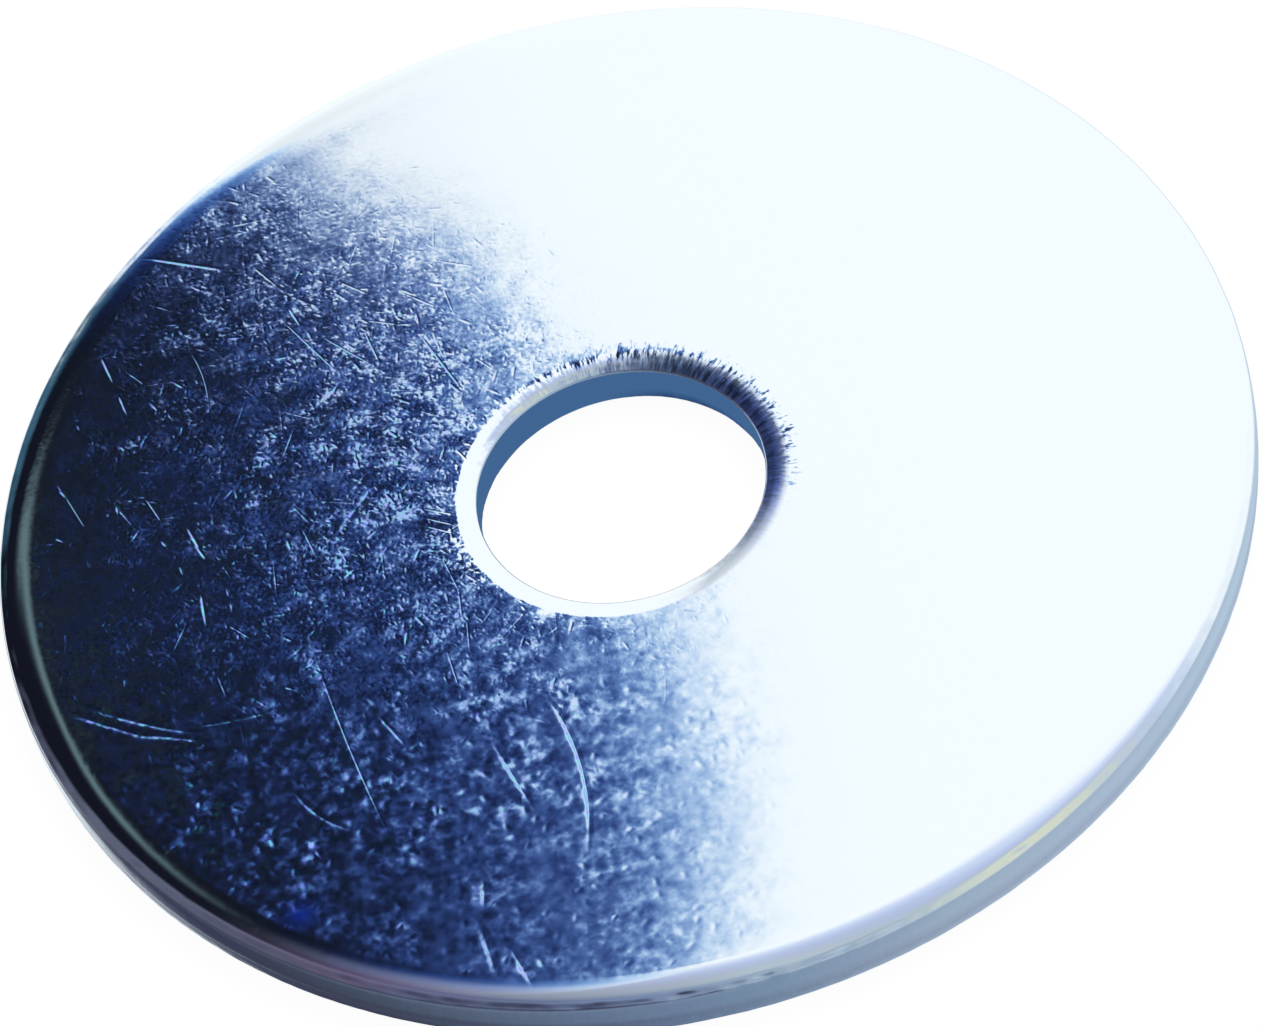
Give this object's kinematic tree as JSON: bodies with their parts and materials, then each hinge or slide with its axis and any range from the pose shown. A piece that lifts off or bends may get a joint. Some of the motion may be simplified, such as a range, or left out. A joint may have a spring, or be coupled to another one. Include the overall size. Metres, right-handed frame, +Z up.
{
  "type": "fender washer",
  "caption": "Thin wide flat ring washer with a small central bore, rolled top edges and a bright zinc finish; spreads bolt load over sheet metal.",
  "frame": {"origin": "centre of the bottom face, the flat side that the washer lies on, on the bore axis", "axes": "+Z up along the bore axis, towards the face with the rolled edges; X and Y are free, because the disc is round"},
  "size_m": [0.0381, 0.038, 0.0015],
  "materials": {
    "zinc_plated_steel": "low-carbon strip steel, barrel zinc plated with a clear blue passivate, bright with tumbling dings"
  },
  "bodies": {
    "root": {"washer": "zinc_plated_steel"}
  },
  "joints": []
}
